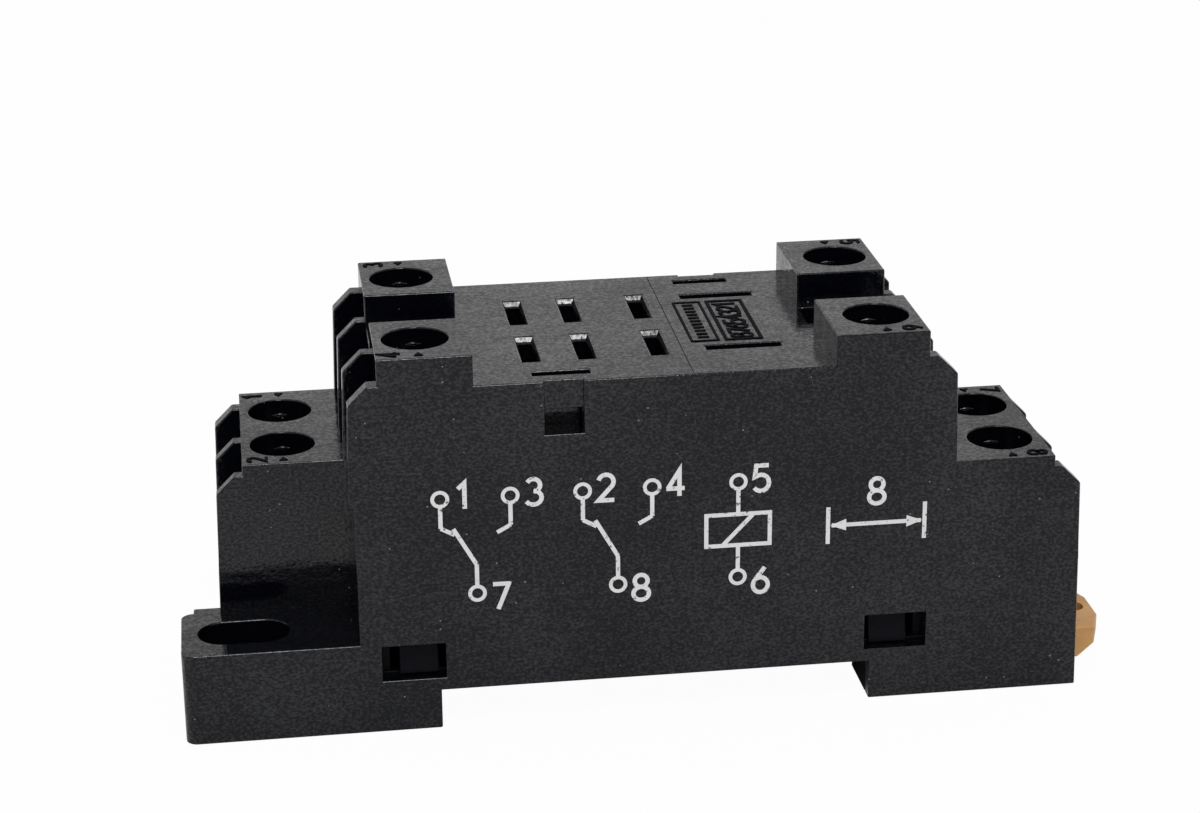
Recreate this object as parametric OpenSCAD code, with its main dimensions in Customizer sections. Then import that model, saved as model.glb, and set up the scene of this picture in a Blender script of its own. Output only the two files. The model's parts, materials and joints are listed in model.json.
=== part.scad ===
// Plug-in relay socket with eight finger-safe screw terminals.
// It snaps onto a 35 mm rail or is screwed down through two oblong lug slots.
// X runs along the socket, Y across it and Z up. The origin is the middle of the
// footprint, in the plane that the feet stand on. Most of the socket repeats
// when it is turned half round about Z.

/* [Outline] */
// Length of the bay between the towers, where the relay stands
bay_l = 29; // [28:0.1:30]
// Length of each tower
tower_len = 7.55; // [7.4:0.05:8]
// How far the lower blocks reach out past the towers
block_step = 10.75; // [10.4:0.05:12]
// How far the upper fins stand out of the towers
upper_fin_out = 2.55; // [2.4:0.05:2.9]
// How far the lower fins and the feet stand out of the lower blocks
lower_fin_out = 2.6; // [2.4:0.05:3]
// How far the lugs stand out of the feet
lug_out = 3.05; // [2.6:0.05:5]
// Gap between the front towers and the back towers
tower_gap = 6.8; // [5:0.1:7]
// How far a lower block stands back from the face beside its lug
block_recess = 8.3; // [8:0.1:8.5]

/* [Heights] */
// Top of the lower blocks
lower_z = 20.7; // [20:0.1:22]
// Rise from the lower blocks to the platform that the relay stands on
tier_step = 8.8; // [8.2:0.1:10]
// Rise from the platform to the top of the towers
tower_rise = 2.55; // [2:0.05:4]
// Top of the mounting lugs
lug_z = 7.8; // [6:0.1:9]
// Height of the feet below the rail seat
foot_h = 3.4; // [3:0.1:3.8]
// Slope of the end faces, as the run-in over the height of a lower block
draft = 0.4; // [0:0.05:0.5]

/* [Walls] */
// Walls round the inside of the housing
wall = 1.25; // [1.1:0.05:1.5]
// Plastic over a terminal chamber
roof_t = 4.4; // [4:0.1:4.8]
// Plastic over the relay contacts
deck_t = 1.9; // [1.5:0.1:2.4]
// Thickness of the middle and inner fins
fin_t = 1.2; // [1:0.05:1.3]
// Chamfer on the upper corner of each fin
fin_chamfer = 1.55; // [0.8:0.05:2]
// How far the top of the upper fins stands over the platform
fin_rise = 0.35; // [0:0.05:0.8]
// How far the top of the lower fins lies below the block top
fin_drop = 0.95; // [0:0.05:1.4]

/* [Terminals] */
// Screw axis to the end wall of its tower or block
screw_inset = 3.4; // [3.3:0.05:3.5]
// Radius of the screwdriver holes
access_r = 2.67; // [2.3:0.01:2.75]
// Clear height from a terminal plate to the chamber roof
chamber_h = 4.9; // [4.8:0.1:5.4]
// Nominal radius of the terminal thread
thread_r = 1.5; // [1.25:0.05:1.75]
// Height of the screw head
head_h = 1.7; // [1.4:0.1:1.9]
// Length of the screw under its head
screw_len = 6; // [5:0.1:6.4]
// Side of the square clamp washer
clamp_w = 6.2; // [6:0.1:6.4]
// Thickness of the clamp washer
clamp_t = 1; // [0.8:0.1:1.1]
// Thickness of the brass terminal strip
strip_t = 1; // [0.8:0.1:1.2]

/* [Relay contacts] */
// Distance of the outer contact slots from the middle
slot_a_x = 9.35; // [9:0.05:9.6]
// Distance of the left inner contact slots from the middle
slot_b_x = 4.8; // [4.4:0.05:5]
// Distance of the right contact slots from the middle
slot_c_x = 1.1; // [0.8:0.05:1.4]
// Distance of the two coil slots from the middle
slot_coil_x = 8.1; // [7.6:0.05:8.3]
// Distance of the contact slots from the middle line
row_y = 4.65; // [4.6:0.05:4.8]
// Distance of the coil slots from the middle line
coil_y = 6.6; // [6.4:0.05:6.8]
// Length of a blade slot
slot_l = 6.35; // [5.6:0.05:6.4]
// Width of a blade slot at the platform
slot_w = 1.6; // [1.3:0.05:1.8]
// Width of a coil blade slot
coil_slot_w = 1.1; // [0.9:0.05:1.4]
// Depth of the funnel at the mouth of a blade slot
funnel = 0.5; // [0.3:0.05:0.7]
// Thickness of the contact spring
spring_t = 0.35; // [0.25:0.05:0.4]
// Gap between the contact leaves where they grip the blade
grip_gap = 0.4; // [0.3:0.05:0.6]

/* [Mounting] */
// Length between the feet, for the edges of the rail
rail_gap = 35.4; // [35.2:0.05:36]
// How far the hooks reach under the rail
hook_reach = 1.3; // [0.9:0.05:1.6]
// Thickness of the rail edge that fits over the hooks
rail_t = 1.15; // [1:0.05:1.3]
// Width of the lug slots
lug_slot_w = 4.24; // [3.6:0.02:4.5]
// Length of the lug slots
lug_slot_l = 7.4; // [6:0.1:7.6]
// Lug slot centre to the end of the lug
lug_slot_end = 5.1; // [4.9:0.05:5.4]
// Lug slot centre to the face of the body
lug_slot_face = 4.2; // [4:0.05:4.3]
// Rounding of the lug's upright corners
lug_round = 1; // [0.5:0.1:1.4]
// Length of the windows for the cover's latches
window_l = 5.1; // [4.6:0.1:5.4]
// Height of the windows
window_h = 3; // [2.6:0.1:3.2]
// Height of the windows over the rail seat
window_up = 1.1; // [1.1:0.05:1.6]
// Width of each latch
latch_w = 3.2; // [2.6:0.1:3.6]

/* [Rail clip] */
// Middle line of the clip, towards the front
clip_y = 4.05; // [3.9:0.05:4.2]
// Width of the clip
clip_w = 8.5; // [8:0.1:8.7]
// Top of the clip
clip_z = 3.05; // [2.9:0.05:3.1]
// How far the clip's tab stands out of the foot
tab_out = 3.9; // [3.4:0.1:4.4]
// Travel of the clip
clip_travel = 3; // [2:0.1:3]
// Radius of the screwdriver hole in the tab
tab_hole_r = 0.95; // [0.7:0.05:1.1]

/* [Hidden] */
fit = 0.1;            // clearance of a moulded piece in its seat
run_gap = 0.05;       // clearance of a screw in its thread and of stacked pieces
eps = 0.01;           // overshoot of a cut past a face
$fn = 48;

cell_w = clamp_w + 0.4;                       // clear width of a terminal chamber
side_t = wall + 0.25;                         // outer fins and the walls beside the outer chambers
pitch = cell_w + fin_t + fit;                 // terminal to terminal across the socket
screw_face = side_t + cell_w / 2;             // outer screws to the face of the body
body_w = 2 * (screw_face + pitch);            // three terminals across
head_r = clamp_w / 2 - 0.15;
plate_w = cell_w + 0.4;                       // the plates' edges lie in grooves of the walls
half_w = body_w / 2;
tower_l = bay_l + 2 * tower_len;              // over the outer faces of the towers
upper_l = tower_l + 2 * upper_fin_out;        // over the upper fins
lower_l = tower_l + 2 * block_step;           // over the lower blocks
base_l = lower_l + 2 * lower_fin_out;         // over the feet
lug_l = base_l + 2 * lug_out;                 // over the lugs
platform_z = lower_z + tier_step;
tower_z = platform_z + tower_rise;
window_z = foot_h + window_up;
block_y = half_w - block_recess;              // inner side of a lower block
screw_y = half_w - screw_face;                // outer row of screws
upper_x = tower_l / 2 - screw_inset;          // screws of the upper tier
lower_x = lower_l / 2 - screw_inset;          // screws of the lower tier
upper_top = tower_z - roof_t - chamber_h;     // top of the upper terminal plates
lower_top = lower_z - roof_t - chamber_h;     // top of the lower terminal plates
shaft_z = platform_z - deck_t;                // ceiling of the contact shafts
cover_t = 1.35;                               // thickness of the bottom cover
cover_z = foot_h + cover_t;                   // top of the bottom cover
lug_slot_x = lug_l / 2 - lug_slot_end;
lug_slot_y = half_w - lug_slot_face;
lug_in = lug_slot_x - lug_slot_l / 2 - 2;     // inner end of the solid lug
cover_end = base_l / 2 - draft - wall;        // end of the cover below a block
cover_side = half_w - wall;
gap_half = rail_gap / 2;
plate_in = 4.7;       // terminal plate: reach inwards from the screw
plate_out = 4.15;     // terminal plate: reach outwards from the screw
collar_h = 1.2;       // drawn collar that lengthens the thread
collar_r = thread_r + 0.75;
pad_l = 5.2;          // pad under a contact, along the blade
pad_w = 2.8;          // pad under a contact, across the blade
shaft_l = slot_l - fit;                       // contact shaft, along the blade
shaft_w = pad_w + 0.4;                        // contact shaft, across the blade
hold_x = 7.35;        // notch for a hold-down clip, from the middle
hold_w = 3.1;
groove_l = 4.6;       // groove behind the notch
groove_t = 0.95;
groove_in = 1.6;
hold_h = 4.45;        // depth of the notch and its groove
pocket_l = 5.2;       // pocket between the towers
pocket_w = 4.2;
pocket_h = 7;
floor_t = 1.3;        // floor of the cover's feet
rib_t = 1.2;          // rib across the cover's left foot
hook_w = 11;          // fixed hook
leg_t = 1.3;          // walls beside the rail
guide_t = 1.3;        // side walls of the clip's guide
lip_z = 0.95;         // top of the lips that carry the clip
latch_t = 1;          // thickness of a latch arm
catch = half_w - 0.9;                         // how far the latches reach into the windows
neck_w = clip_w - 2.4;                        // clip where it passes the end wall
nose_w = 4.6;         // clip's nose
nose_top = foot_h - rail_t;
arm_tip_x = gap_half + leg_t + 2.2;           // inner ends of the clip's spring arms
bump = 0.45;          // stop bump on each arm
bump_l = 1.2;
guide_out = clip_w / 2 + fit + guide_t;       // clip's middle line to the outside of its guide
wide_end = cover_end - clip_travel - 0.3;     // shoulder that stops the pull
slot_t = 0.7;         // width of the recess in a screw head

// Terminals 1 to 8: tier (0 lower, 1 upper), screw x and y, contact x and y,
// then the side edges of the arm that joins the plate to the contact pad.
coil_arm = [coil_y - pad_w / 2, coil_y + pad_w / 2];
outer_arm = [row_y, row_y + pad_l / 2];
inner_arm = [row_y - pad_l / 2 - 0.25, row_y - pad_l / 2 + 1.55];
TERMINALS = [
    [0, -lower_x, screw_y, -slot_b_x, row_y, outer_arm[0], outer_arm[1]],
    [0, -lower_x, screw_y - pitch, -slot_b_x, -row_y, -inner_arm[1], -inner_arm[0]],
    [1, -upper_x, screw_y, -slot_a_x, row_y, outer_arm[0], outer_arm[1]],
    [1, -upper_x, -screw_y, -slot_a_x, -row_y, -outer_arm[1], -outer_arm[0]],
    [1, upper_x, screw_y, slot_coil_x, coil_y, coil_arm[0], coil_arm[1]],
    [1, upper_x, -screw_y, slot_coil_x, -coil_y, -coil_arm[1], -coil_arm[0]],
    [0, lower_x, pitch - screw_y, slot_c_x, row_y, inner_arm[0], inner_arm[1]],
    [0, lower_x, -screw_y, slot_c_x, -row_y, -outer_arm[1], -outer_arm[0]],
];
function tier(n) = TERMINALS[n - 1][0];
function screw_at(n) = [TERMINALS[n - 1][1], TERMINALS[n - 1][2]];
function contact_at(n) = [TERMINALS[n - 1][3], TERMINALS[n - 1][4]];
function arm_of(n) = [TERMINALS[n - 1][5], TERMINALS[n - 1][6]];
function plate_top(n) = tier(n) == 1 ? upper_top : lower_top;
function side(n) = screw_at(n)[0] < 0 ? -1 : 1;
function outer_side(n) = screw_at(n)[1] * side(n) > 0 && tier(n) == 0 ? 1 : (screw_at(n)[1] < 0 ? -1 : 1);
function coil(n) = n == 5 || n == 6;

// ---- helpers ----

// Box between two corners, given in any order.
module block(a, b) {
    translate([min(a[0], b[0]), min(a[1], b[1]), min(a[2], b[2])])
        cube([abs(b[0] - a[0]), abs(b[1] - a[1]), abs(b[2] - a[2])]);
}

// Draws its children and again turned half round about Z.
module twice() {
    children();
    rotate([0, 0, 180]) children();
}

// Draws its children and again mirrored front to back.
module both_faces() {
    children();
    mirror([0, 1, 0]) children();
}

// Profile in X and Z, given a thickness from y0 to y1.
module slab(y0, y1, points) {
    translate([0, max(y0, y1), 0]) rotate([90, 0, 0])
        linear_extrude(abs(y1 - y0)) polygon(points);
}

// Profile in Y and Z, given a length from x0 to x1.
module bar(x0, x1, points) {
    translate([min(x0, x1), 0, 0]) rotate([90, 0, 90])
        linear_extrude(abs(x1 - x0)) polygon(points);
}

// ---- housing ----

// One fin of the upper tier, on the +X end.
module upper_fin(y0, y1) {
    end = upper_l / 2;
    top = platform_z + fin_rise;
    run = draft * (top - lug_z) / lower_z / 2;
    slab(y0, y1, [[tower_l / 2 - eps, lower_z - 1], [end, lower_z - 1], [end - run, top - fin_chamfer],
        [end - run - fin_chamfer, top], [tower_l / 2 - eps, top]]);
}

// One fin of a lower block, on the +X end.
module lower_fin(y0, y1) {
    end = base_l / 2;
    top = lower_z - fin_drop;
    slab(y0, y1, [[lower_l / 2 - eps, 0], [end, 0], [end - draft, top - fin_chamfer],
        [end - draft - fin_chamfer, top], [lower_l / 2 - eps, top]]);
}

// Lug at the +X end, with a rounded end.
module lug() {
    end = lug_l / 2;
    r = lug_round;
    block([upper_l / 2 - 1, block_y - 1, 0], [end - r, half_w, lug_z]);
    block([end - r - eps, block_y + r, 0], [end, half_w - r, lug_z]);
    for (y = [block_y + r, half_w - r]) translate([end - r, y, 0]) cylinder(r = r, h = lug_z);
}

// Everything on the +X half of the housing, without its hollows.
module half_shape() {
    block([0, -half_w, 0], [upper_l / 2 - draft, half_w, upper_top]);
    block([0, -half_w, 0], [tower_l / 2, half_w, platform_z]);
    both_faces() {
        block([bay_l / 2, tower_gap / 2, platform_z - 1], [tower_l / 2, half_w, tower_z]);
        upper_fin(half_w - side_t, half_w);
        upper_fin(tower_gap / 2, tower_gap / 2 + fin_t);
    }
    slab(-half_w, block_y, [[0, 0], [base_l / 2, 0],
        [base_l / 2 - draft * lower_top / lower_z, lower_top], [lower_l / 2, lower_top],
        [lower_l / 2, lower_z], [0, lower_z]]);
    lower_fin(-half_w, -half_w + side_t);
    lower_fin(-screw_y + pitch / 2 - fin_t / 2, -screw_y + pitch / 2 + fin_t / 2);
    lower_fin(block_y - (block_y - pitch + screw_y - cell_w / 2), block_y);
    lug();
}

// Slot for a relay blade, along Y. A contact slot has a funnel at its mouth on all four
// sides, and a coil slot only at its ends.
module blade_slot(is_coil) {
    w = (is_coil ? coil_slot_w : slot_w) / 2;
    l = slot_l / 2;
    side_in = is_coil ? 0 : funnel * 0.55;
    end_in = funnel * 0.8;
    depth = deck_t + 1;
    intersection() {
        slab(-slot_l, slot_l, [[-w, 1], [w, 1], [w, 0], [w - side_in, -funnel], [w - side_in, -depth],
            [side_in - w, -depth], [side_in - w, -funnel], [-w, 0]]);
        bar(-slot_w, slot_w, [[-l, 1], [l, 1], [l, 0], [l - end_in, -funnel], [l - end_in, -depth],
            [end_in - l, -depth], [end_in - l, -funnel], [-l, 0]]);
    }
}

// Hollows of terminal n, all open downwards so that the strip loads from below.
module terminal_hollow(n) {
    s = side(n);
    at = screw_at(n);
    c = contact_at(n);
    arm = arm_of(n);
    top = plate_top(n);
    low = cover_z;
    // chamber for the screw, its clamp and the wire
    block([at[0] - s * (head_r + 0.45), at[1] - cell_w / 2, top],
        [at[0] + s * (screw_inset + 1), at[1] + cell_w / 2, top + chamber_h]);
    // seat of the terminal plate
    block([at[0] - s * (plate_in + fit), at[1] - plate_w / 2 - run_gap, low],
        [at[0] + s * (plate_out + fit), at[1] + plate_w / 2 + run_gap, top + run_gap]);
    // arm, and the shaft with the contact
    block([at[0] - s * (plate_in - 1), arm[0] - fit, low], [c[0], arm[1] + fit, top + run_gap]);
    contact_shaft(n);
    // screwdriver hole
    translate([at[0], at[1], top + chamber_h - 1]) cylinder(r = access_r, h = roof_t + 2);
}

module contact_shaft(n) {
    c = contact_at(n);
    translate([c[0], c[1], 0]) rotate([0, 0, coil(n) ? 90 : 0])
        block([-shaft_w / 2, -shaft_l / 2, cover_z], [shaft_w / 2, shaft_l / 2, shaft_z]);
}

// Pocket between the towers, groove and notch for a hold-down clip, lug slot and
// latch window: the cuts that repeat when the socket is turned half round.
module repeated_cuts() {
    block([bay_l / 2 - fit, -pocket_w / 2, platform_z - pocket_h], [bay_l / 2 + pocket_l, pocket_w / 2, tower_z]);
    // groove and notch
    hold_z = platform_z - hold_h;
    block([hold_x - groove_l / 2, half_w - groove_in - groove_t, hold_z],
        [hold_x + groove_l / 2, half_w - groove_in, tower_z]);
    block([hold_x - hold_w / 2, half_w - 0.4, hold_z], [hold_x + hold_w / 2, half_w + 1, tower_z]);
    block([hold_x - hold_w / 2, half_w - groove_in - 0.4, hold_z],
        [hold_x + hold_w / 2, half_w + 1, hold_z + 2]);
    // oblong lug slot
    for (x = [-1, 1]) translate([lug_slot_x + x * (lug_slot_l - lug_slot_w) / 2, lug_slot_y, -1])
        cylinder(r = lug_slot_w / 2, h = lug_z + 2);
    block([lug_slot_x - (lug_slot_l - lug_slot_w) / 2, lug_slot_y - lug_slot_w / 2, -1],
        [lug_slot_x + (lug_slot_l - lug_slot_w) / 2, lug_slot_y + lug_slot_w / 2, lug_z + 1]);
    // windows
    both_faces() block([gap_half - 0.4, cover_side - 1, window_z],
        [gap_half - 0.4 + window_l, half_w + 1, window_z + window_h]);
}

// Outline that the bottom cover fills, less a clearance all round.
function cover_outline(inset) = [
    [-cover_end + inset, -cell_w / 2 + (screw_y - pitch) + inset], [-cover_end + inset, cover_side - inset],
    [lug_in - inset, cover_side - inset], [lug_in - inset, cell_w / 2 - (screw_y - pitch) - inset],
    [cover_end - inset, cell_w / 2 - (screw_y - pitch) - inset], [cover_end - inset, -cover_side + inset],
    [-lug_in + inset, -cover_side + inset], [-lug_in + inset, -cell_w / 2 + (screw_y - pitch) + inset]];

module housing() {
    color("#202124") difference() {
        twice() half_shape();
        for (n = [1:8]) terminal_hollow(n);
        for (n = [1:8]) translate([contact_at(n)[0], contact_at(n)[1], platform_z])
            rotate([0, 0, coil(n) ? 90 : 0]) blade_slot(coil(n));
        twice() repeated_cuts();
        translate([0, 0, -1]) linear_extrude(cover_z + 1 + eps) polygon(cover_outline(0));
        block([-gap_half, -half_w - 1, -1], [gap_half, half_w + 1, foot_h]);
        // way out for the clip's neck
        block([cover_end - 1, -clip_y - neck_w / 2 - fit, -1],
            [base_l / 2 + 1, -clip_y + neck_w / 2 + fit, clip_z + fit]);
    }
}

// ---- bottom cover ----

// Snap latch, in the +Y face, rising from the cover's edge.
module latch() {
    y = cover_side - fit;
    top = window_z + window_h;
    bar(gap_half + fit, gap_half + fit + latch_w, [[y - latch_t, foot_h - 1], [y, foot_h - 1],
        [y, window_z + fit], [catch, window_z + fit], [catch, window_z + 0.7], [y, top - 0.4],
        [y, top + 0.3], [y - latch_t, top + 0.3]]);
}

// Ribs that carry the plate of terminal n, beside its arm and clear of its screw.
module plate_ribs(n) {
    s = side(n);
    at = screw_at(n);
    d = outer_side(n);
    y0 = at[1] + d * 0.2;
    y1 = at[1] + d * (plate_w / 2 - 0.3);
    for (reach = [[0.1 - plate_in, 1.5 - plate_in], [plate_out - 1.1, plate_out - 0.2]]) {
        foot = abs(at[0]) + reach[0] > gap_half;
        block([at[0] + s * reach[0], y0, foot ? floor_t / 2 : foot_h + floor_t / 2],
            [at[0] + s * reach[1], y1, plate_top(n) - strip_t]);
    }
}

// Hollow that lightens the feet from above.
module core() {
    translate([0, 0, floor_t]) linear_extrude(cover_z) polygon(cover_outline(fit + rib_t));
}

module bottom_cover() {
    color("#26272a") difference() {
        union() {
            difference() {
                linear_extrude(cover_z) polygon(cover_outline(fit));
                block([-gap_half, -half_w, -1], [gap_half, half_w, foot_h]);
                // left foot, cored from above
                difference() {
                    core();
                    block([-gap_half - leg_t, -half_w, 0], [lug_l, half_w, cover_z + 1]);
                    block([-cover_end, screw_y - (pitch + rib_t) / 2, 0],
                        [0, screw_y - (pitch - rib_t) / 2, cover_z]);
                }
                // right foot, cored from above round the clip's guide
                difference() {
                    core();
                    block([-lug_l, -half_w, 0], [gap_half + leg_t, half_w, cover_z + 1]);
                    block([0, -clip_y - guide_out, 0], [cover_end, -clip_y + guide_out, cover_z + 1]);
                }
            }
            twice() both_faces() latch();
            for (n = [1:8]) plate_ribs(n);
            // fixed hook
            slab(-hook_w / 2, hook_w / 2, [[-gap_half - eps, 0.3], [-gap_half, 0.3],
                [-gap_half + hook_reach, nose_top - 0.9], [-gap_half + hook_reach, nose_top],
                [-gap_half - eps, nose_top]]);
        }
        // guide of the clip: a T-shaped slot, open towards the end
        translate([0, -clip_y, 0]) {
            block([gap_half + leg_t, -clip_w / 2 - fit, lip_z], [lug_l, clip_w / 2 + fit, clip_z + fit]);
            block([gap_half + leg_t, -neck_w / 2 - fit, -1], [lug_l, neck_w / 2 + fit, clip_z + fit]);
            block([gap_half - 1, -nose_w / 2 - fit, -1],
                [gap_half + leg_t + 1, nose_w / 2 + fit, clip_z + fit]);
            for (y = [-1, 1])
                block([arm_tip_x - 0.3, y * (clip_w / 2 - eps), lip_z],
                    [arm_tip_x + bump_l + clip_travel + 0.3, y * (clip_w / 2 + bump + fit + 0.05), clip_z + fit]);
        }
    }
}

// ---- rail clip ----

module rail_clip() {
    tab_in = base_l / 2 + fit;
    tab_end = base_l / 2 + tab_out;
    low = 0.25;
    top = clip_z - run_gap;
    corner = clip_w / 2;
    color("#c08a52") translate([0, -clip_y, 0]) difference() {
        union() {
            // nose that reaches under the rail
            slab(-nose_w / 2, nose_w / 2, [[gap_half - hook_reach, nose_top - 0.7], [gap_half - hook_reach + 0.9, low + 0.1],
                [arm_tip_x, low + 0.1], [arm_tip_x, nose_top], [gap_half - hook_reach, nose_top]]);
            // body and neck
            block([gap_half + leg_t + 0.4, -nose_w / 2, lip_z + fit], [arm_tip_x + 1, nose_w / 2, top]);
            block([arm_tip_x, -corner, lip_z + fit], [wide_end, corner, top]);
            block([arm_tip_x, -neck_w / 2, low], [tab_in + 1, neck_w / 2, top]);
            for (y = [-1, 1]) block([arm_tip_x, y * (corner - 0.5), lip_z + fit],
                [arm_tip_x + bump_l, y * (corner + bump), top]);
            // tab with cut corners and a slanted underside
            intersection() {
                translate([0, 0, low]) linear_extrude(clip_z - low) polygon([[tab_in, -corner], [tab_end - 0.95, -corner],
                    [tab_end, -corner + 2.5], [tab_end, corner - 2.5], [tab_end - 0.95, corner], [tab_in, corner]]);
                slab(-clip_w, clip_w, [[tab_in, low], [tab_end - 2.3, low], [tab_end - 0.95, low + 1.2],
                    [tab_end, low + 1.2], [tab_end, clip_z], [tab_in, clip_z]]);
            }
        }
        // slits that free the two spring arms
        for (y = [-1, 1]) block([arm_tip_x - 1, y * (neck_w / 2), low - 1], [wide_end - 1.3, y * (neck_w / 2 - 0.7), clip_z + 1]);
        // screwdriver hole in the tab
        translate([tab_end - 1.65, 0, -1]) cylinder(r = tab_hole_r, h = clip_z + 2);
    }
}

// ---- terminals ----

// Brass strip: plate with a threaded hole, arm, riser on the lower tier, contact pad.
module terminal(n) {
    s = side(n);
    at = screw_at(n);
    c = contact_at(n);
    arm = arm_of(n);
    top = plate_top(n);
    pad = upper_top;
    color("#b9b9b4") difference() {
        union() {
            block([at[0] - s * plate_in, at[1] - plate_w / 2, top - strip_t],
                [at[0] + s * plate_out, at[1] + plate_w / 2, top]);
            translate([at[0], at[1], top - strip_t - collar_h]) cylinder(r = collar_r, h = collar_h + eps);
            block([at[0] - s * (plate_in - 1), arm[0], top - strip_t], [c[0] - s * strip_t / 2, arm[1], top]);
            if (tier(n) == 0)
                block([c[0] - strip_t / 2, arm[0], top - strip_t], [c[0] + strip_t / 2, arm[1], pad]);
            translate([c[0], c[1], pad - strip_t]) rotate([0, 0, coil(n) ? 90 : 0])
                block([-pad_w / 2, -pad_l / 2, 0], [pad_w / 2, pad_l / 2, strip_t]);
        }
        translate([at[0], at[1], top - strip_t - collar_h - 1]) cylinder(r = thread_r, h = strip_t + collar_h + 2);
    }
}

// Folded spring contact: two leaves that grip a blade, on the pad of its strip.
module contact(n) {
    h = shaft_z - upper_top - 0.25;
    wide = pad_w / 2 - 0.2;
    grip = grip_gap / 2 + spring_t;
    mouth = slot_w / 2 + 0.1;
    steps = 8;
    grip_z = h * 0.68;
    outer = concat([[wide, 0]],
        [for (i = [0:steps]) [wide + (grip - wide) * (1 - cos(180 * i / steps)) / 2, spring_t * 2 + (grip_z - spring_t * 2) * i / steps]],
        [for (i = [1:4]) [grip + (mouth - grip) * (1 - cos(90 * i / 4)), grip_z + (h - grip_z) * i / 4]]);
    inner = [for (i = [len(outer) - 1:-1:1]) [outer[i][0] - spring_t, outer[i][1]]];
    right = concat(outer, inner, [[wide - spring_t, spring_t]]);
    left = [for (i = [len(right) - 1:-1:0]) [-right[i][0], right[i][1]]];
    color("#c9b27a") translate([contact_at(n)[0], contact_at(n)[1], upper_top]) rotate([0, 0, coil(n) ? 90 : 0])
        slab(-pad_l / 2, pad_l / 2, concat(right, left));
}

// Square clamp washer that presses the wire onto the plate.
module clamp(n) {
    at = screw_at(n);
    color("#c4c6c8") translate([at[0], at[1], plate_top(n) + run_gap]) difference() {
        union() {
            block([-clamp_w / 2, -clamp_w / 2, 0.25], [clamp_w / 2, clamp_w / 2, clamp_t]);
            // pressing ridges on the underside
            for (y = [-1, 1]) block([-clamp_w / 2, y * (clamp_w / 2 - 0.2), 0], [clamp_w / 2, y * (clamp_w / 2 - 1.1), 0.3]);
        }
        translate([0, 0, -1]) cylinder(r = thread_r + 0.1, h = clamp_t + 2);
    }
}

// Pan head screw with a combined cross and slot recess.
module screw(n) {
    at = screw_at(n);
    shank = thread_r - run_gap;
    cross_r = 1.6;
    color("#cfd1d3") translate([at[0], at[1], plate_top(n) + clamp_t + 2 * run_gap]) difference() {
        rotate_extrude() polygon([[0, -screw_len], [shank - 0.45, -screw_len], [shank, -screw_len + 0.5],
            [shank, 0], [head_r, 0], [head_r, head_h * 0.55], [head_r - 0.35, head_h * 0.82],
            [head_r - 0.9, head_h], [0, head_h]]);
        for (a = [0, 90]) rotate([0, 0, a])
            block([-cross_r, -slot_t / 2, head_h - 1.1], [cross_r, slot_t / 2, head_h + 1]);
        block([-head_r - 1, -slot_t / 2, head_h - 0.6], [head_r + 1, slot_t / 2, head_h + 1]);
    }
}

housing();
bottom_cover();
rail_clip();
for (n = [1:8]) {
    terminal(n);
    contact(n);
    clamp(n);
    screw(n);
}
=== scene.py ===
# %% [markdown]
# # Relay socket
# A plug-in relay stands between the four towers of this socket, and its blades go down
# through slots in the platform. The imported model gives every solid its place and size.
# This file adds what a moulder, a printer and a screw maker add: rounded edges, mould
# grain, cut numbers, white ink and rolled threads.

# %% Load the frame
import json
import math

import bmesh
import bpy
import numpy as np
from mathutils import Matrix, Vector

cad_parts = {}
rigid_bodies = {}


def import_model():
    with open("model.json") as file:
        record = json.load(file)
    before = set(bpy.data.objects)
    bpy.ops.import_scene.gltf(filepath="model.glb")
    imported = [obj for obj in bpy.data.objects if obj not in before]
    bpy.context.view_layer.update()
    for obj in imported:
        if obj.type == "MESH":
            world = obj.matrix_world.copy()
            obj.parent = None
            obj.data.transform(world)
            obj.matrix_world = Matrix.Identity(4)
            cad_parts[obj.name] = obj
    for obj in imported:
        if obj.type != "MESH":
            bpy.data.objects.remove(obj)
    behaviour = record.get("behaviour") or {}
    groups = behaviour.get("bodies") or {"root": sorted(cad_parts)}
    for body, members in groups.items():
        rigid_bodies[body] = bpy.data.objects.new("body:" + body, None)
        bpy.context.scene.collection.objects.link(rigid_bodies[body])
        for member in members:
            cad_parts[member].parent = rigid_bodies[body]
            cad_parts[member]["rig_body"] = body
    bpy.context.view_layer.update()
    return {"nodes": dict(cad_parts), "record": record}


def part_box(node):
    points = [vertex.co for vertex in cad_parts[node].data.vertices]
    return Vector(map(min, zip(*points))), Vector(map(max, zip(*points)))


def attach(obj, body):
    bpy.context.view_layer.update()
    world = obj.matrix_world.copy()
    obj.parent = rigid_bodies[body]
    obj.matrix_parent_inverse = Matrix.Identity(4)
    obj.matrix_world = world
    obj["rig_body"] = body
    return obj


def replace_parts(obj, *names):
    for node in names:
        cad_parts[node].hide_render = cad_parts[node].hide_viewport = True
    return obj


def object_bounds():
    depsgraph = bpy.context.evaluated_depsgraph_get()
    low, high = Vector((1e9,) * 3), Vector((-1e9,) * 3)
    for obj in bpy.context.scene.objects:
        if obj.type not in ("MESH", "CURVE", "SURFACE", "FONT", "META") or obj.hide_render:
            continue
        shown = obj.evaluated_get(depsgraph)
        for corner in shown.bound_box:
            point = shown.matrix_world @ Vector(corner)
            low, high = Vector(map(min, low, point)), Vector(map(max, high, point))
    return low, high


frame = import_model()
MM = 0.001

# %% [markdown]
# ## Camera
# The socket is seen from its front, a little from the left and from about twenty
# degrees above. A long lens keeps its upright edges almost parallel. The view is built
# from three angles and a distance, so each can be read and changed by itself.

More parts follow.
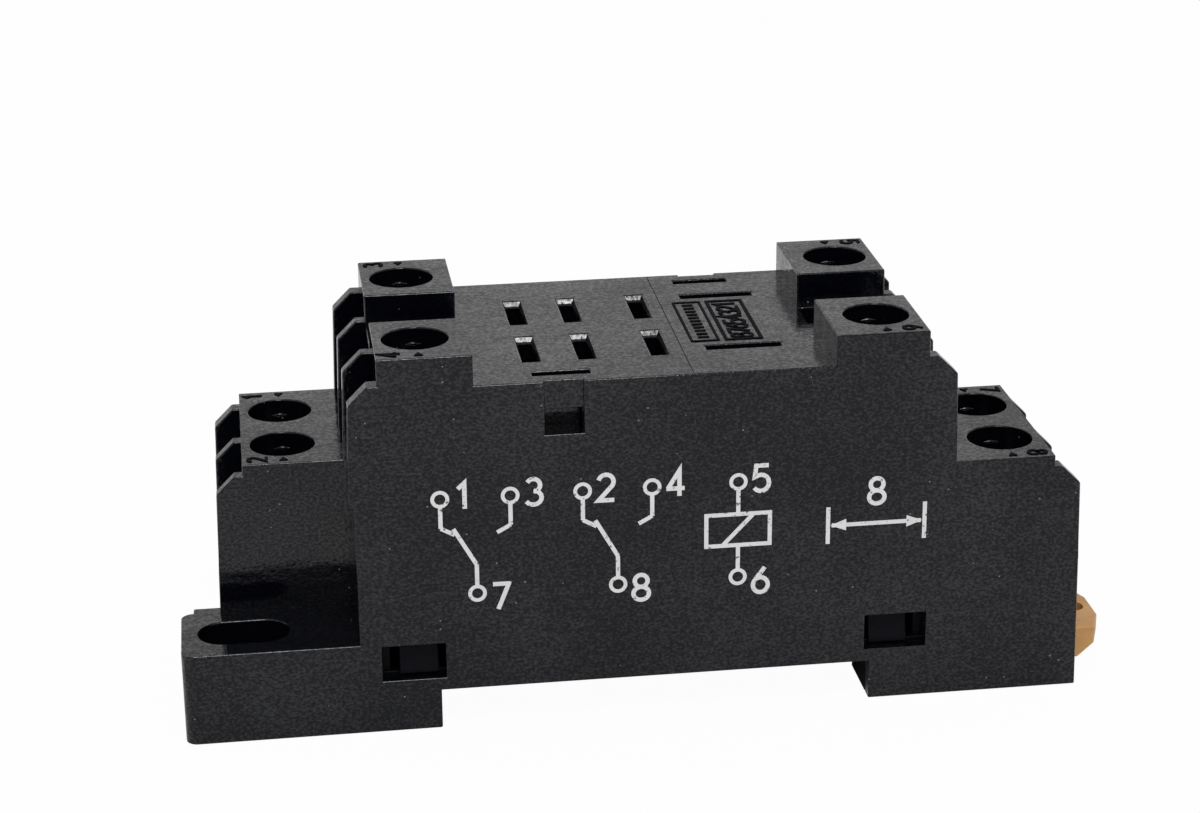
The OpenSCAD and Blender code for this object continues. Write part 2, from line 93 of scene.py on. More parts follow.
# %% Camera
turn, tilt, lean = (math.radians(angle) for angle in (7.544, 20.555, -0.55))
ahead = Vector((math.sin(turn) * math.cos(tilt), math.cos(turn) * math.cos(tilt), -math.sin(tilt)))
level = Vector((math.cos(turn), -math.sin(turn), 0))
upward = level.cross(ahead)
across = level * math.cos(lean) + upward * math.sin(lean)
over = upward * math.cos(lean) - level * math.sin(lean)
camera = bpy.data.objects.new("camera", bpy.data.cameras.new("camera"))
bpy.context.scene.collection.objects.link(camera)
camera.data.lens = 83.87
camera.data.clip_start = 0.01
stand = (Vector((-2.856, 0, 22.403)) - ahead * 233.957) * MM
camera.matrix_world = Matrix.Translation(stand) @ Matrix((across, over, -ahead)).transposed().to_4x4()
bpy.context.scene.camera = camera
print("camera stands at", [round(c, 3) for c in stand])

# %% [markdown]
# ## Writing a finish as maths
# A finish is a tree of nodes. Wiring each node by hand hides the idea, so a small class
# wraps a socket and lets plain arithmetic add the Math nodes. Every other node comes
# from one method of the finish.

# %% Wire and Finish
class Wire:
    """One output socket of a finish. + - * / on it add Math nodes."""

    def __init__(self, finish, socket):
        self.finish, self.socket = finish, socket

    def maths(self, operation, first, second):
        return self.finish.node("Math", {"operation": operation}, {0: first, 1: second})

    def __add__(self, other):
        return self.maths("ADD", self, other)

    def __sub__(self, other):
        return self.maths("SUBTRACT", self, other)

    def __rsub__(self, other):
        return self.maths("SUBTRACT", other, self)

    def __mul__(self, other):
        return self.maths("MULTIPLY", self, other)

    def __truediv__(self, other):
        return self.maths("DIVIDE", self, other)

    def above(self, edge):
        return self.maths("GREATER_THAN", self, edge)

    def below(self, edge):
        return self.maths("LESS_THAN", self, edge)

    __radd__, __rmul__ = __add__, __mul__


class Finish:
    """A material whose tree is written as expressions."""

    def __init__(self, name, **plain):
        self.material = bpy.data.materials.new(name)
        self.material.use_nodes = True
        self.tree = self.material.node_tree
        self.shader = self.tree.nodes["Principled BSDF"]
        self.set(self.shader, {key.replace("_", " "): value for key, value in plain.items()})
        self.place = self.node("VectorMath", {"operation": "SCALE"},
                               {0: self.node("TexCoord", out="Object"), "Scale": 1 / MM})

    def set(self, node, values):
        for key, value in values.items():
            if isinstance(value, Wire):
                self.tree.links.new(value.socket, node.inputs[key])
            else:
                node.inputs[key].default_value = value

    def node(self, kind, settings=None, values=None, out=0):
        """Any shader node: its type, its settings, then the values or links of its sockets."""
        node = self.tree.nodes.new("ShaderNode" + kind)
        for key, value in (settings or {}).items():
            setattr(node, key, value)
        self.set(node, values or {})
        return Wire(self, node.outputs[out])

    def noise(self, per_mm, detail=2.0, stretch=None):
        """Noise from 0 to 1, with per_mm waves in a millimetre. stretch lengthens it per axis."""
        place = self.place
        if stretch:
            place = self.node("VectorMath", {"operation": "MULTIPLY"}, {0: place, 1: stretch})
        return self.node("TexNoise", None, {"Vector": place, "Scale": per_mm, "Detail": detail})

    def specks(self, per_mm, size, share):
        """1 on round specks: size is their radius in cells, share the part of the cells with one."""
        cells = {"Vector": self.place, "Scale": per_mm}
        near = self.node("TexVoronoi", None, cells, out="Distance")
        tint = self.node("TexVoronoi", None, cells, out="Color")
        lot = self.node("SeparateColor", None, {0: tint}, out="Red")
        return near.below(size) * lot.below(share)

    def step(self, value, low, high):
        """0 below low, 1 above high, smooth between."""
        return self.node("MapRange", {"interpolation_type": "SMOOTHSTEP"},
                         {"Value": value, "From Min": low, "From Max": high})

    def blend(self, share, first, second):
        """A colour between two, by share."""
        return self.node("Mix", {"data_type": "RGBA"}, {0: share, 6: first, 7: second}, out=2)

    def bump(self, height, depth_mm, strength=1.0):
        return self.node("Bump", None, {"Height": height, "Distance": depth_mm * MM, "Strength": strength})

    def finish(self, **varying):
        self.set(self.shader, {key.replace("_", " "): value for key, value in varying.items()})
        print("finish", self.material.name, "has", len(self.tree.nodes), "nodes")
        return self.material


# %% [markdown]
# ## Black moulded plastic
# The housing is glass-filled black plastic out of a spark-eroded mould. It is almost
# black itself: what the eye sees is its weak mirror, broken by a grain of a few tenths
# of a millimetre, and here and there a speck of dust. So the colour stays near black and
# the grain goes into the bump and the roughness.

# %% Plastic finishes
BLACK = (0.0014, 0.0017, 0.0038, 1)
HAZE = (0.0034, 0.0037, 0.0062, 1)
DUST = (0.22, 0.215, 0.21, 1)


def moulded_black(name, gloss, grain_mm, coat, dust, mirror=1.36):
    f = Finish(name, IOR=mirror, Coat_Roughness=gloss, Coat_IOR=1.5)
    grain = f.noise(3.2, detail=3.0)
    flow = f.noise(0.22, detail=2.0, stretch=(0.6, 1.0, 1.6))
    pits = f.specks(2.4, 0.16, 0.14)
    region = f.noise(0.07, detail=2.0)
    skin = f.step(f.noise(5.2, detail=4.0, stretch=(0.7, 0.7, 1.0)) + (region - 0.5) * 0.3, 0.36, 0.78)
    speck = f.specks(1.3, 0.1, dust)
    colour = f.blend(speck * 0.8, f.blend(skin, BLACK, HAZE), DUST)
    height = grain + flow * 7.0 - pits * 0.6
    return f.finish(Base_Color=colour, Roughness=gloss + (grain - 0.5) * 0.14 + speck * 0.3,
                    Coat_Weight=skin * coat, Normal=f.bump(height, grain_mm))


housing_black = moulded_black("housing_black", 0.08, 0.022, 1.0, 0.12)
cover_black = moulded_black("cover_black", 0.45, 0.05, 0.0, 0.03, mirror=1.2)


def moulded_tan():
    f = Finish("clip_tan", IOR=1.48)
    f.shader.inputs["Subsurface Weight"].default_value = 0.0
    flow = f.noise(0.5, detail=3.0, stretch=(0.4, 1.2, 1.0))
    grain = f.noise(4.0, detail=3.0)
    colour = f.blend(f.step(flow, 0.3, 0.7), (0.56, 0.285, 0.088, 1), (0.65, 0.355, 0.13, 1))
    return f.finish(Base_Color=colour, Roughness=0.36 + (grain - 0.5) * 0.2, Normal=f.bump(grain, 0.012))


clip_tan = moulded_tan()

# %% [markdown]
# ## Metals
# Screws and clamps are steel with a bright plating. The strips are brass under thin
# nickel, and the contacts are bronze that shows its own colour where it was bent. Rolled
# strip has fine lines along its length, and a screw head has rings from the header.

# %% Metal finishes
def plated(name, colour, worn, rough, lines):
    f = Finish(name, Metallic=1.0)
    drawn = f.noise(2.2, detail=3.0, stretch=lines)
    cloud = f.noise(0.8, detail=3.0)
    tone = f.blend(f.step(cloud, 0.45, 0.75), colour, worn)
    return f.finish(Base_Color=tone, Roughness=rough + (drawn - 0.5) * 0.22 + (cloud - 0.5) * 0.12,
                    Normal=f.bump(drawn, 0.006))


strip_brass = plated("strip_brass", (0.74, 0.70, 0.60, 1), (0.70, 0.60, 0.40, 1), 0.32, (0.3, 6.0, 6.0))
contact_bronze = plated("contact_bronze", (0.72, 0.56, 0.36, 1), (0.62, 0.45, 0.27, 1), 0.30, (6.0, 0.3, 6.0))
clamp_steel = plated("clamp_steel", (0.66, 0.66, 0.67, 1), (0.58, 0.58, 0.57, 1), 0.34, (5.0, 0.6, 5.0))
screw_steel = plated("screw_steel", (0.70, 0.70, 0.71, 1), (0.60, 0.60, 0.60, 1), 0.26, (4.0, 4.0, 1.0))

# %% [markdown]
# ## White ink
# The front carries a pad print in white. Ink from a pad is a few hundredths of a
# millimetre thick and has pinholes where it didn't wet the grain, so the ink's colour
# falls back to dark in small specks.

# %% Ink
def pad_ink():
    f = Finish("print_white", IOR=1.45)
    holes = f.step(f.noise(3.0, detail=4.0), 0.60, 0.68)
    thin = f.noise(0.9, detail=2.0)
    colour = f.blend(holes * 0.85, f.blend(thin, (0.88, 0.88, 0.88, 1), (0.70, 0.70, 0.71, 1)), (0.06, 0.06, 0.062, 1))
    return f.finish(Base_Color=colour, Roughness=0.55)


print_white = pad_ink()

# %% [markdown]
# ## Solids from profiles
# Letters and lines are bars carried along a path. A path point moves half the bar's
# width to both sides along the mitre of its two neighbours, which keeps the width even
# round a bend.

# %% Bars and plates
def bar(points, width, low, high, closed=False):
    """A bar of that width between two heights, along a path of (u, v) points.

    The mitre at a point is (n1 + n2) / (1 + d1.d2), where d1 and d2 are the directions
    before and after it and n1 and n2 are those turned a quarter to the left."""
    p = np.asarray(points, float)
    if closed:
        before, after = p - np.roll(p, 1, 0), np.roll(p, -1, 0) - p
    else:
        steps = np.diff(p, axis=0)
        before, after = np.vstack([steps[:1], steps]), np.vstack([steps, steps[-1:]])
    before /= np.linalg.norm(before, axis=1, keepdims=True)
    after /= np.linalg.norm(after, axis=1, keepdims=True)
    both = before + after
    mitre = np.stack([-both[:, 1], both[:, 0]], 1) / (1 + (before * after).sum(1, keepdims=True))
    left, right = p + mitre * width / 2, p - mitre * width / 2
    ring = [np.column_stack([side, np.full(len(p), z)]) for side, z in
            ((left, low), (right, low), (right, high), (left, high))]
    verts = np.stack(ring, 1).reshape(-1, 3)
    i = np.arange(len(p) if closed else len(p) - 1)
    j = (i + 1) % len(p)
    quads = [np.stack([i * 4 + k, j * 4 + k, j * 4 + (k + 1) % 4, i * 4 + (k + 1) % 4], 1) for k in range(4)]
    faces = [list(face) for face in np.vstack(quads)[:, ::-1]]
    if not closed:
        faces += [[0, 1, 2, 3], [len(p) * 4 - k for k in (1, 2, 3, 4)]]
    return verts, faces


def plate(outline, low, high):
    """A flat plate: an outline, counter-clockwise, between two heights."""
    p = np.asarray(outline, float)
    n = len(p)
    verts = np.vstack([np.column_stack([p, np.full(n, low)]), np.column_stack([p, np.full(n, high)])])
    sides = [[i, (i + 1) % n, n + (i + 1) % n, n + i] for i in range(n)]
    return verts, sides + [list(range(n))[::-1], list(range(n, 2 * n))]


def joined(solids):
    """Several (verts, faces) as one."""
    offsets = np.cumsum([0] + [len(v) for v, _ in solids])
    return np.vstack([v for v, _ in solids]), [[int(i + o) for i in face] for (_, faces), o in zip(solids, offsets) for face in faces]


def piece(name, solid, finish, body):
    """Makes an object of a (verts, faces) in millimetres, with its finish, riding on a body."""
    mesh = bpy.data.meshes.new(name)
    mesh.from_pydata(solid[0] * MM, [], solid[1])
    mesh.update()
    obj = bpy.data.objects.new(name, mesh)
    bpy.context.scene.collection.objects.link(obj)
    mesh.materials.append(finish)
    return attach(obj, body)


# %% [markdown]
# ## Numbers
# Terminals are numbered 1 to 8. Each figure is one or two strokes in a cell one unit
# high, from straight runs and elliptic arcs, as an engraving cutter would draw it.

# %% Strokes of the figures
def arc(cx, cy, rx, ry, start, end, count=12):
    """Points of an ellipse from one angle to another, in degrees."""
    a = np.radians(np.linspace(start, end, count))
    return np.column_stack([cx + rx * np.cos(a), cy + ry * np.sin(a)])


def path(*runs):
    return np.vstack([np.asarray(run, float).reshape(-1, 2) for run in runs])


FIGURES = {
    1: [(path((0.1, 0.78), (0.34, 1), (0.34, 0)), False)],
    2: [(path(arc(0.3, 0.72, 0.28, 0.28, 165, -35), (0.02, 0), (0.6, 0)), False)],
    3: [(arc(0.29, 0.75, 0.25, 0.25, 150, -85), False), (arc(0.29, 0.27, 0.3, 0.27, 88, -150), False)],
    4: [(path((0.45, 0), (0.45, 1), (0.02, 0.3)), False), (path((-0.03, 0.3), (0.64, 0.3)), False)],
    5: [(path((0.56, 1), (0.1, 1), (0.05, 0.56), arc(0.28, 0.32, 0.3, 0.32, 120, -145)), False)],
    6: [(path((0.46, 1), (0.12, 0.55)), False), (arc(0.3, 0.3, 0.28, 0.3, 0, 345, 20), True)],
    7: [(path((0.02, 1), (0.6, 1), (0.2, 0)), False)],
    8: [(arc(0.3, 0.76, 0.24, 0.24, 0, 345, 20), True), (arc(0.3, 0.26, 0.29, 0.26, 0, 345, 20), True)],
}


def figure(number, at, height, width, low, high, quarter=0):
    """One figure centred at a point. quarter turns it by that many right angles."""
    turned = np.linalg.matrix_power(np.array([[0, -1], [1, 0]]), quarter % 4)
    return [bar((points - (0.31, 0.5)) @ turned.T * height + at, width, low, high, closed)
            for points, closed in FIGURES[number]]


# %% [markdown]
# ## Housing
# A mould has no sharp edges: each outer edge of the real housing has a radius of about
# an eighth of a millimetre, and it catches the light as a thin line. The model's mesh is
# loose triangles, so a copy is merged first. Then numpy finds the edges that turn
# outwards, and only those get a bevel.

# %% Merge, find the rims, bevel
def merged(node):
    """A copy of a CAD node's mesh with shared corners, and flat neighbours as one face."""
    mesh = frame["nodes"][node].data.copy()
    work = bmesh.new()
    work.from_mesh(mesh)
    bmesh.ops.remove_doubles(work, verts=work.verts, dist=2e-6)
    bmesh.ops.dissolve_degenerate(work, edges=work.edges, dist=1e-6)
    bmesh.ops.dissolve_limit(work, angle_limit=math.radians(0.8), verts=work.verts, edges=work.edges)
    work.to_mesh(mesh)
    work.free()
    return mesh


def read(items, field, width=1, kind=float):
    out = np.zeros(len(items) * width, kind)
    items.foreach_get(field, out)
    return out.reshape(-1, width) if width > 1 else out


def rims(mesh, least_turn=24, least_length=0.25):
    """1 for an edge that turns outwards by more than least_turn degrees, else 0.

    Along an edge as its first face runs round it, (n1 x n2).d is positive where the
    two faces turn outwards; n1 and n2 are their normals and d is the direction."""
    points = read(mesh.vertices, "co", 3)
    ends = read(mesh.edges, "vertices", 2, int)
    normals = read(mesh.polygons, "normal", 3)
    loop_edge = read(mesh.loops, "edge_index", kind=int)
    loop_point = read(mesh.loops, "vertex_index", kind=int)
    loop_face = np.repeat(np.arange(len(mesh.polygons)), read(mesh.polygons, "loop_total", kind=int))
    order = np.argsort(loop_edge, kind="stable")
    count = np.bincount(loop_edge, minlength=len(ends))
    start = np.cumsum(count) - count
    pairs = np.flatnonzero(count == 2)
    one, two = order[start[pairs]], order[start[pairs] + 1]
    n1, n2 = normals[loop_face[one]], normals[loop_face[two]]
    run = points[ends[pairs]].sum(1) - 2 * points[loop_point[one]]
    length = np.linalg.norm(run, axis=1) / MM
    turn = np.degrees(np.arccos(np.clip((n1 * n2).sum(1), -1, 1)))
    outwards = (np.cross(n1, n2) * run).sum(1) > 0
    weight = np.zeros(len(ends))
    weight[pairs] = outwards & (turn > least_turn) & (length > least_length)
    return weight


def settled(obj):
    """Applies an object's modifiers to its mesh."""
    bpy.context.view_layer.update()
    done = bpy.data.meshes.new_from_object(obj.evaluated_get(bpy.context.evaluated_depsgraph_get()))
    obj.modifiers.clear()
    obj.data = done
    done.name = obj.name
    return obj


def smoothed(obj, most_turn):
    """Shades an object smooth up to that turn, with its large faces kept flat.

    The normal of a face's corner is the mean of the normals round that point which
    turn less than most_turn from the face's own, each weighted by its face's area
    squared. So a flat wall wins over the narrow strips of its rounded rim."""
    mesh = obj.data
    mesh.polygons.foreach_set("use_smooth", np.ones(len(mesh.polygons), bool))
    normals = read(mesh.polygons, "normal", 3)
    weight = (read(mesh.polygons, "area") / MM ** 2) ** 2
    face = np.repeat(np.arange(len(mesh.polygons)), read(mesh.polygons, "loop_total", kind=int))
    point = read(mesh.loops, "vertex_index", kind=int)
    order = np.argsort(point, kind="stable")
    count = np.bincount(point, minlength=len(mesh.vertices))
    start = np.cumsum(count) - count
    mates = count[point]
    corner = np.repeat(np.arange(len(point)), mates)
    turn_at = np.arange(mates.sum()) - np.repeat(np.cumsum(mates) - mates, mates)
    mate = order[start[point[corner]] + turn_at]
    near = (normals[face[corner]] * normals[face[mate]]).sum(1) > math.cos(math.radians(most_turn))
    pull = np.where(near, weight[face[mate]], 0)[:, None] * normals[face[mate]]
    total = np.stack([np.bincount(corner, pull[:, k], len(point)) for k in range(3)], 1)
    mesh.normals_split_custom_set(total / np.maximum(np.linalg.norm(total, axis=1, keepdims=True), 1e-30))
    return obj


def dressed(node, name, finish, radius):
    """A copy of a CAD node with rounded rims, which then stands for it."""
    mesh = merged(node)
    mesh.materials.clear()
    mesh.materials.append(finish)
    obj = bpy.data.objects.new(name, mesh)
    bpy.context.scene.collection.objects.link(obj)
    weight = rims(mesh)
    mesh.attributes.new("bevel_weight_edge", "FLOAT", "EDGE").data.foreach_set("value", weight.astype(np.float32))
    round_off = obj.modifiers.new("rims", "BEVEL")
    round_off.width, round_off.segments = radius * MM, 3
    round_off.limit_method, round_off.use_clamp_overlap = "WEIGHT", False
    smoothed(settled(obj), 32)
    body = frame["nodes"][node]["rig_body"]
    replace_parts(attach(obj, body), node)
    print(name, "has", len(obj.data.polygons), "faces and", int(weight.sum()), "rounded rims")
    return obj


housing = dressed("housing", "housing_moulding", housing_black, 0.13)

# %% [markdown]
# ## Moulded marks
# Each screwdriver hole has its terminal's number beside it, at the outer long edge of
# its tower or block, turned so that it reads from the end, and a small wedge that points
# to the hole. The field between the two coil slots is a plain double frame with the
# eight numbers in order, and a fine flash line shows where the mould's insert ended.
# The marks stand a few hundredths proud and are matt, because they were blasted.

# %% Marks
platform_z = next(m["pos_m"][2] for m in frame["record"]["mounts"] if m["name"] == "relay_seat") / MM
screws = {n: (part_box(f"screw_{n}")[0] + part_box(f"screw_{n}")[1]) / 2 / MM for n in range(1, 9)}
tower_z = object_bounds()[1][2] / MM
lower_z = 20.7
half_w = 12.7
outer_edge = {1: 12.7, 2: -4.4, 3: 12.7, 4: -12.7, 5: 12.7, 6: -12.7, 7: 4.4, 8: -12.7}
PROUD = 0.07


def blasted():
    f = Finish("mark_black", IOR=1.06)
    grain = f.noise(6.0, detail=3.0)
    return f.finish(Base_Color=f.blend(grain, BLACK, (0.008, 0.008, 0.0095, 1)), Roughness=0.42 + (grain - 0.5) * 0.2,
                    Normal=f.bump(grain, 0.03))


def frame_lines(x0, x1, y0, y1, width, low, high):
    return bar([(x0, y0), (x1, y0), (x1, y1), (x0, y1)], width, low, high, closed=True)


marks = []
for n, screw in screws.items():
    top = tower_z if n in (3, 4, 5, 6) else lower_z
    side = -1 if screw.x < 0 else 1
    toward = 1 if outer_edge[n] > screw.y else -1
    y = outer_edge[n] - toward * 1.05
    z0, z1 = top - 0.05, top + PROUD
    marks += figure(n, (screw.x + side * 2.15, y), 1.5, 0.26, z0, z1, 1 if side < 0 else 3)
    tip = np.array([[-0.36, 0.32], [0, -0.36], [0.36, 0.32]]) * (1, toward) + (screw.x, y + toward * 0.1)
    marks.append(plate(tip if toward < 0 else tip, z0, z1))
z0, z1 = platform_z - 0.05, platform_z + PROUD
marks += [frame_lines(4.1, 6.3, -5.0, 4.9, 0.2, z0, z1), frame_lines(6.95, 9.85, -5.0, 4.9, 0.28, z0, z1)]
marks += [bar([(4.75, y), (5.65, y)], 0.3, z0, z1) for y in np.arange(-4.1, 4.2, 0.82)]
for n in range(1, 9):
    marks += figure(n, (8.4, 5.15 - n * 1.15), 1.7, 0.28, z0, z1, 1)
marks.append(bar([(3.0, -12.5), (3.0, 12.5)], 0.05, platform_z - 0.05, platform_z + 0.02))
lettering = piece("moulded_marks", joined(marks), blasted(), "base")
print("marks have", len(lettering.data.polygons), "faces")

# %% [markdown]
# ## Nubs in the screwdriver holes
# Each screwdriver hole is filled from one side when it is moulded, and a small nub stays
# on its wall. It is the only thing in the dark hole that finds the lamp, as one spark.
# The nub is a half-round bead along the wall that swells at one place and is sunk into
# the wall everywhere else.

# %% Nubs
HOLE_R = 2.67
NUB_DOWN = 1.42
NUB = 0.17


def nub(x, y, z, around=144, across=9):
    """A bead along a hole's wall: HOLE_R less s * sin(t) inwards and z + s * cos(t) upwards.

    Its size is s = NUB * exp(-((a - 90) / 11)^2), where a is the angle round the hole
    in degrees, and the whole bead lies 0.03 inside the wall."""
    a = np.arange(around) * 360 / around
    size = NUB * np.exp(-((a - 90) / 11) ** 2) + 0.002
    a, t = np.radians(a), np.linspace(0, np.pi, across)[:, None]
    r = HOLE_R + 0.03 - size * np.sin(t)
    grid = np.stack([x + r * np.cos(a), y + r * np.sin(a), z + size * np.cos(t)], -1)
    i, j = np.meshgrid(np.arange(across), np.arange(around), indexing="ij")
    k, m = (i + 1) % across, (j + 1) % around
    quads = np.stack([i * around + j, k * around + j, k * around + m, i * around + m], -1)
    return grid.reshape(-1, 3), [list(face) for face in quads.reshape(-1, 4)]


nubs = piece("hole_nubs", joined([
    nub(screw.x, screw.y, (tower_z if n in (3, 4, 5, 6) else lower_z) - NUB_DOWN)
    for n, screw in screws.items()]), housing_black, "base")
smoothed(nubs, 60)
print("nubs have", len(nubs.data.polygons), "faces")

# %% Cover, clip and clamps
cover = dressed("bottom_cover", "cover_moulding", cover_black, 0.1)
clip = dressed("rail_clip", "clip_moulding", clip_tan, 0.16)
for n in screws:
    dressed(f"clamp_{n}", f"clamp_plate_{n}", clamp_steel, 0.1)

# %% [markdown]
# ## Strips and contacts
# These are stamped parts deep inside, seen only through slots and wire entries, so
# their solids stay as they are and only get their metal.

# %% Stamped parts
for n in screws:
    for node, finish in ((f"terminal_{n}", strip_brass), (f"contact_{n}", contact_bronze)):
        mesh = frame["nodes"][node].data
        mesh.materials.clear()
        mesh.materials.append(finish)

# %% [markdown]
# ## Screws
# A terminal screw is headed and then rolled. Its head is a surface of revolution whose
# height drops inside the recess, a cross with one arm cut right through as a slot. The
# thread is a tube whose radius follows a rounded saw wave of angle and height.

# %% Screw surfaces
THREAD_PITCH = 0.5


def grid_faces(rows, columns):
    """Quads of a grid that closes on itself along its columns."""
    i, j = np.meshgrid(np.arange(rows - 1), np.arange(columns), indexing="ij")
    k = (j + 1) % columns
    return np.stack([i * columns + j, i * columns + k, (i + 1) * columns + k, (i + 1) * columns + j], -1).reshape(-1, 4)


def head_height(x, y, rim, height):
    """Height of the head's top: a crown, less the recess.

    The crown is flat with a rounded edge. The recess goes down where |x| or |y| is under
    half a slot's width, with walls that slope over a few hundredths."""
    r = np.hypot(x, y)
    crown = height - 0.30 * np.clip((r - rim + 0.75) / 0.75, 0, 1) ** 2.2
    wall = lambda d, half: np.clip((half - np.abs(d)) / 0.09 + 0.5, 0, 1)
    inside = np.clip((1.7 - r) / 0.12 + 0.5, 0, 1)
    cross = np.maximum(wall(x, 0.36), wall(y, 0.36)) * inside * (1.15 - 0.35 * r / 1.7)
    slot = wall(y, 0.36) * 0.62
    return crown - np.maximum(cross, slot)


def screw_solid(centre_x, centre_y, seat_z, rim=2.95, height=1.7, shank=1.45, root=1.16, length=6.0):
    """Rings from the middle of the head out to its rim, down its side, under it and along the thread."""
    count = 72
    a = np.arange(count) * 2 * np.pi / count
    radii = np.concatenate([[0.02], np.linspace(0.12, rim - 0.06, 34)])
    x, y = radii[:, None] * np.cos(a), radii[:, None] * np.sin(a)
    rings = [np.stack([x, y, head_height(x, y, rim, height)], -1)]
    edge_drop = np.array([0.30, 0.36, 0.5, 0.8, 1.2, 1.55, 1.66, 1.7])
    edge_r = rim - np.array([0.02, 0.0, 0.0, 0.0, 0.0, 0.0, 0.05, 0.14])
    floor = head_height(edge_r[:, None] * np.cos(a), edge_r[:, None] * np.sin(a), rim, height)
    side_z = np.minimum(height - edge_drop[:, None], floor)
    rings.append(np.stack([edge_r[:, None] * np.cos(a), edge_r[:, None] * np.sin(a), side_z], -1))
    z = -np.linspace(0.0, length, int(length / THREAD_PITCH * 10))[:, None]
    wave = np.abs(((z / THREAD_PITCH - a / (2 * np.pi)) % 1) - 0.5) * 2
    depth = np.clip((-z) / 0.6, 0, 1) * np.clip((length + z) / 0.05, 0, 1)
    radius = root + (shank - root) * np.clip(wave * 1.25 - 0.1, 0, 1) * depth + (shank - root) * (1 - np.clip(-z / 0.6, 0, 1))
    radius = np.minimum(radius, 1.02 + (length + z) * 0.9)
    rings.append(np.stack([radius * np.cos(a), radius * np.sin(a), z + 0 * a], -1))
    grid = np.concatenate([r.reshape(-1, count, 3) for r in rings])
    verts = grid.reshape(-1, 3) + (centre_x, centre_y, seat_z)
    faces = [list(f) for f in grid_faces(len(grid), count)[:, ::-1]]
    last = (len(grid) - 1) * count
    faces += [list(range(count)), list(range(last, last + count))[::-1]]
    return verts, faces


for n, middle in screws.items():
    low, high = (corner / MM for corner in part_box(f"screw_{n}"))
    screw = piece(f"terminal_screw_{n}", screw_solid(middle.x, middle.y, high.z - 1.7), screw_steel, f"screw_{n}")
    smoothed(screw, 40)
    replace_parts(screw, f"screw_{n}")
print("screw has", len(screw.data.polygons), "faces")

# %% [markdown]
# ## Printed diagram
# The front shows how the terminals join the relay: two changeover contacts, each with
# its common terminal below, and the coil beside them. To the right stands a gauge for
# the length of bare wire. All of it is lines of one width and plain numbers.

# %% Diagram
INK = 0.02


def ring(x, z, r):
    return bar(arc(x, z, r, r, 0, 345, 24), 0.3, 0, INK, closed=True)


def ink(*points, width=0.34):
    return bar(points, width, 0, INK)


def stacked(strokes, rise=0.0006):
    """Strokes with each one's face a little higher than the last, as ink lies on ink."""
    return [(np.where(v[:, 2:] > 0, v + (0, 0, i * rise), v), f) for i, (v, f) in enumerate(strokes)]


strokes = []
for left, names in ((-17.4, (1, 3, 7)), (-6.0, (2, 4, 8))):
    right, middle = left + 5.6, left + 2.8
    strokes += [ink((left, 19.5), (left, 17.6)), ink((right, 19.5), (right, 17.6)), ink((left, 17.6), (left + 1.1, 17.0)),
                ink((right, 17.6), (right - 1.1, 17.0)), ink((middle, 12.4), (middle, 14.3)),
                ink((middle, 14.3), (left + 1.0, 17.5))]
    strokes += [ring(left, 20.1, 0.6), ring(right, 20.1, 0.6), ring(middle, 11.8, 0.6)]
    for number, x, z in zip(names, (left + 1.9, right + 1.9, middle + 1.9), (20.3, 20.3, 11.4)):
        strokes += figure(number, (x, z), 2.2, 0.36, 0, INK)
coil = 6.6
strokes += [frame_lines(coil - 2.6, coil + 2.6, 14.6, 17.3, 0.34, 0, INK), ink((coil - 1.2, 14.7), (coil + 1.2, 17.2)),
            ink((coil, 17.4), (coil, 19.5)), ink((coil, 14.5), (coil, 12.4)), ring(coil, 20.1, 0.6), ring(coil, 11.8, 0.6)]
strokes += figure(5, (coil + 1.9, 20.3), 2.2, 0.36, 0, INK) + figure(6, (coil + 1.9, 11.4), 2.2, 0.36, 0, INK)
strokes += [ink((14.0, 14.2), (14.0, 17.4)), ink((22.0, 14.2), (22.0, 17.4)), ink((14.3, 15.8), (21.7, 15.8))]
strokes += [plate([(14.2, 15.8), (15.5, 15.3), (15.5, 16.3)], 0, INK), plate([(21.8, 15.8), (20.5, 16.3), (20.5, 15.3)], 0, INK)]
strokes += figure(8, (18.0, 18.6), 2.2, 0.36, 0, INK)
verts, faces = joined(stacked(strokes))
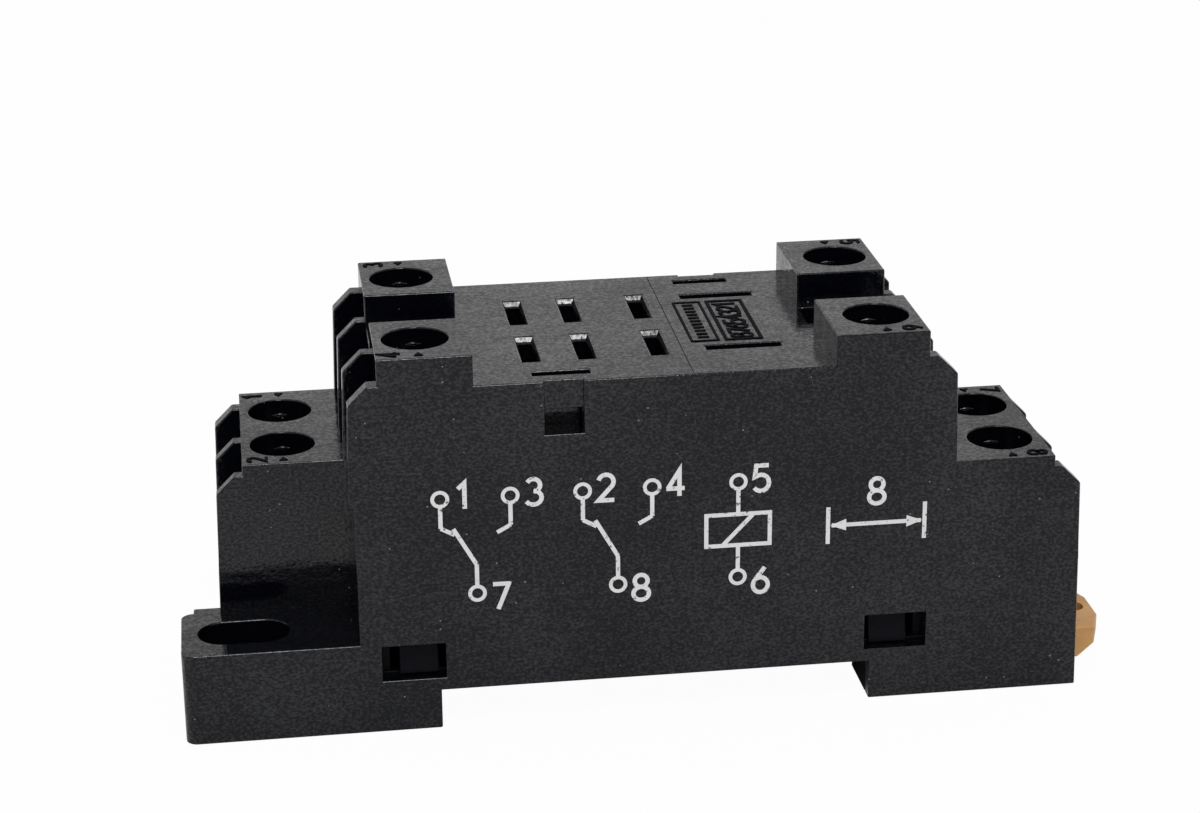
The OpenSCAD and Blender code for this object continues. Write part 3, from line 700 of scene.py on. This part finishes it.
front = np.column_stack([verts[:, 0], -half_w - verts[:, 2] - 0.002, verts[:, 1]])
diagram = piece("front_print", (front, faces), print_white, "base")
print("diagram has", len(faces), "faces")

# %% [markdown]
# ## Floor and light
# The socket stands on a white sweep under an even white sky, so that glossy black
# plastic has something bright to mirror. The floor is white to the camera and a softer
# grey in reflections, as a real sweep is in front of the object, where the studio's
# light falls off.

# %% Floor
floor_mesh = bpy.data.meshes.new("floor")
reach = 4.0
floor_mesh.from_pydata([(-reach, -reach, -2e-5), (reach, -reach, -2e-5), (reach, reach, -2e-5), (-reach, reach, -2e-5)], [], [(0, 1, 2, 3)])
floor = bpy.data.objects.new("floor", floor_mesh)
bpy.context.scene.collection.objects.link(floor)
sweep = Finish("floor_white")
sweep.set(sweep.shader, {"Base Color": (0.80, 0.80, 0.81, 1), "Roughness": 1.0, "Specular IOR Level": 0.0})
white = sweep.node("Emission", None, {"Color": (1, 1, 1, 1), "Strength": 1.0})
seen = sweep.node("LightPath", out="Is Camera Ray")
mix = sweep.node("MixShader", None, {0: seen * 0.97, 1: Wire(sweep, sweep.shader.outputs[0]), 2: white})
sweep.tree.links.new(mix.socket, sweep.tree.nodes["Material Output"].inputs["Surface"])
floor_mesh.materials.append(sweep.material)

# %% Lamp
softbox = bpy.data.objects.new("softbox", bpy.data.lights.new("softbox", "AREA"))
bpy.context.scene.collection.objects.link(softbox)
softbox.data.size = 0.2
toward = Vector((0.012, -0.516, 0.856)).normalized()
softbox.location = toward * 0.7 + Vector((-4, 0, 29)) * MM
softbox.rotation_euler = toward.to_track_quat("Z", "Y").to_euler()
softbox.data.energy = 14 * math.pi * softbox.data.size ** 2
print("softbox at", [round(c, 3) for c in softbox.location])

# %% Sky
world = bpy.data.worlds.new("sky")
world.use_nodes = True
world.node_tree.nodes["Background"].inputs["Color"].default_value = (1, 1, 1, 1)
world.node_tree.nodes["Background"].inputs["Strength"].default_value = 0.6
bpy.context.scene.world = world
bpy.context.scene.view_settings.view_transform = "Standard"
